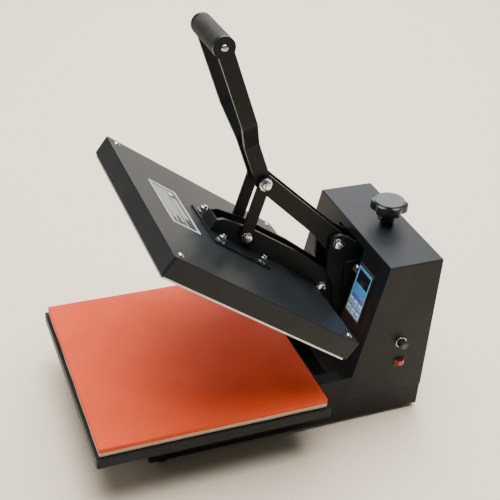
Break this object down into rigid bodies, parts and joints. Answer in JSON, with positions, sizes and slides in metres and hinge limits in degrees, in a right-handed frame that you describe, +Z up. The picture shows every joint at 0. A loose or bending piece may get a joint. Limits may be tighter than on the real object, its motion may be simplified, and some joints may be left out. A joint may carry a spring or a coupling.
{
  "type": "heat press",
  "caption": "Flat clamshell heat press: square pad on a table, hot platen on a hinged arm, toggle lever with a cross grip, control box with pressure knob.",
  "frame": {"origin": "centre of the bounding box on the surface that the rubber feet stand on", "axes": "+Z up, the front of the press faces -Y, +X to the operator's right"},
  "size_m": [0.39, 0.5996, 0.6956],
  "materials": {
    "black_paint": "satin black powder coat",
    "steel_plate_paint": "satin black powder coat over steel plate",
    "chrome_fastener": "bright chrome plate",
    "zinc_steel": "zinc-plated steel",
    "aluminium": "machined cast aluminium",
    "silicone_orange": "matte orange-red silicone sheet",
    "foam_cream": "cream sponge backing",
    "rubber_black": "matte black rubber",
    "plastic_black": "matte black moulding",
    "overlay_blue": "light blue printed film",
    "button_pale": "pale blue keys",
    "display_dark": "dark display window",
    "circuit_green": "circuit board",
    "switch_red": "red rocker",
    "ceramic_wool": "ceramic fibre blanket",
    "spring_steel": "spring wire"
  },
  "bodies": {
    "frame": {"control_board": "circuit_green", "display_window": "display_dark", "floor_plate": "black_paint", "front_cross_member": "black_paint", "fuse_holder": "plastic_black", "fuse_ring": "chrome_fastener", "hinge_shaft": "zinc_steel", "housing_shell": "black_paint", "left_rail": "black_paint", "left_tower": "steel_plate_paint", "lift_springs": "spring_steel", "mains_inlet": "plastic_black", "pad_backing": "foam_cream", "panel_bezel": "plastic_black", "panel_overlay": "overlay_blue", "rear_panel": "black_paint", "rear_panel_screws": "chrome_fastener", "right_rail": "black_paint", "right_tower": "steel_plate_paint", "rubber_feet": "rubber_black", "screw_collar": "zinc_steel", "silicone_pad": "silicone_orange", "switch_frame": "plastic_black", "table_tray": "black_paint", "tower_brackets": "steel_plate_paint", "tower_fasteners": "chrome_fastener", "tray_bolts": "chrome_fastener"},
    "arm": {"left_arm_plate": "steel_plate_paint", "right_arm_plate": "steel_plate_paint", "arm_spacers": "steel_plate_paint", "arm_cross_bolt": "chrome_fastener", "link_bolt": "chrome_fastener", "spreader_plate": "steel_plate_paint", "spreader_bolts": "chrome_fastener", "platen_cover": "steel_plate_paint", "hot_plate": "aluminium", "ceramic_wool": "ceramic_wool", "cover_screws": "chrome_fastener"},
    "lever": {"left_lever_plate": "steel_plate_paint", "right_lever_plate": "steel_plate_paint", "grip_sleeve": "rubber_black", "grip_core": "zinc_steel", "grip_screws": "chrome_fastener", "knee_pin": "zinc_steel"},
    "links": {"left_link": "steel_plate_paint", "right_link": "steel_plate_paint", "knee_bolts": "chrome_fastener"},
    "knob": {"pressure_knob": "plastic_black", "knob_set_screw": "chrome_fastener", "pressure_screw": "zinc_steel"},
    "yoke": {"pressure_yoke": "steel_plate_paint", "lever_pivot_bolt": "chrome_fastener"},
    "rocker": {"switch_rocker": "switch_red"},
    "fuse_cap": {"fuse_cap": "plastic_black"},
    "down_button": {"down_button": "button_pale"},
    "mode_button": {"mode_button": "button_pale"},
    "set_button": {"set_button": "button_pale"},
    "start_button": {"start_button": "button_pale"},
    "stop_button": {"stop_button": "button_pale"},
    "up_button": {"up_button": "button_pale"}
  },
  "joints": [
    {"name": "arm_hinge", "type": "hinge", "parent": "frame", "child": "arm", "pos_m": [0, 0.20865, 0.122], "axis": [1, 0, 0], "range_deg": [0, 35.8], "stiffness_Nm_per_rad": 20, "springref_deg": -91.67, "deforming": ["lift_springs"]},
    {"name": "pressure_slide", "type": "slide", "parent": "frame", "child": "yoke", "axis": [0, 0, 1], "range_m": [-0.004, 0.004]},
    {"name": "knob_turn", "type": "hinge", "parent": "frame", "child": "knob", "pos_m": [0, 0.26215, 0.3155], "axis": [0, 0, 1], "range_deg": [-720.01, 720.01]},
    {"name": "lever_hinge", "type": "hinge", "parent": "yoke", "child": "lever", "pos_m": [0, 0.15715, 0.307], "axis": [1, 0, 0], "range_deg": [0, 67.13]},
    {"name": "link_hinge", "type": "hinge", "parent": "arm", "child": "links", "pos_m": [0, -0.00846, 0.34664], "axis": [1, 0, 0], "range_deg": [-76.62, 0]},
    {"name": "switch_rock", "type": "hinge", "parent": "frame", "child": "rocker", "pos_m": [0.134, 0.24515, 0.115], "axis": [0, 0, 1], "range_deg": [0, 18]},
    {"name": "fuse_cap_turn", "type": "hinge", "parent": "frame", "child": "fuse_cap", "pos_m": [0.133, 0.24215, 0.158], "axis": [1, 0, 0], "range_deg": [-90, 0]},
    {"name": "down_press", "type": "slide", "parent": "frame", "child": "down_button", "axis": [0, 0.9807, -0.1955], "range_m": [0, 0.0008], "stiffness_N_per_m": 300, "springref_m": -0.0006},
    {"name": "mode_press", "type": "slide", "parent": "frame", "child": "mode_button", "axis": [0, 0.9807, -0.1955], "range_m": [0, 0.0008], "stiffness_N_per_m": 300, "springref_m": -0.0006},
    {"name": "set_press", "type": "slide", "parent": "frame", "child": "set_button", "axis": [0, 0.9807, -0.1955], "range_m": [0, 0.0008], "stiffness_N_per_m": 300, "springref_m": -0.0006},
    {"name": "start_press", "type": "slide", "parent": "frame", "child": "start_button", "axis": [0, 0.9807, -0.1955], "range_m": [0, 0.0008], "stiffness_N_per_m": 300, "springref_m": -0.0006},
    {"name": "stop_press", "type": "slide", "parent": "frame", "child": "stop_button", "axis": [0, 0.9807, -0.1955], "range_m": [0, 0.0008], "stiffness_N_per_m": 300, "springref_m": -0.0006},
    {"name": "up_press", "type": "slide", "parent": "frame", "child": "up_button", "axis": [0, 0.9807, -0.1955], "range_m": [0, 0.0008], "stiffness_N_per_m": 300, "springref_m": -0.0006}
  ],
  "couplings": [
    {"joint": "lever_hinge", "follows": "arm_hinge", "ratio": 1.8751},
    {"joint": "link_hinge", "follows": "arm_hinge", "ratio": -2.1403},
    {"joint": "knob_turn", "follows": "pressure_slide", "rad_per_m": 3141.6}
  ]
}
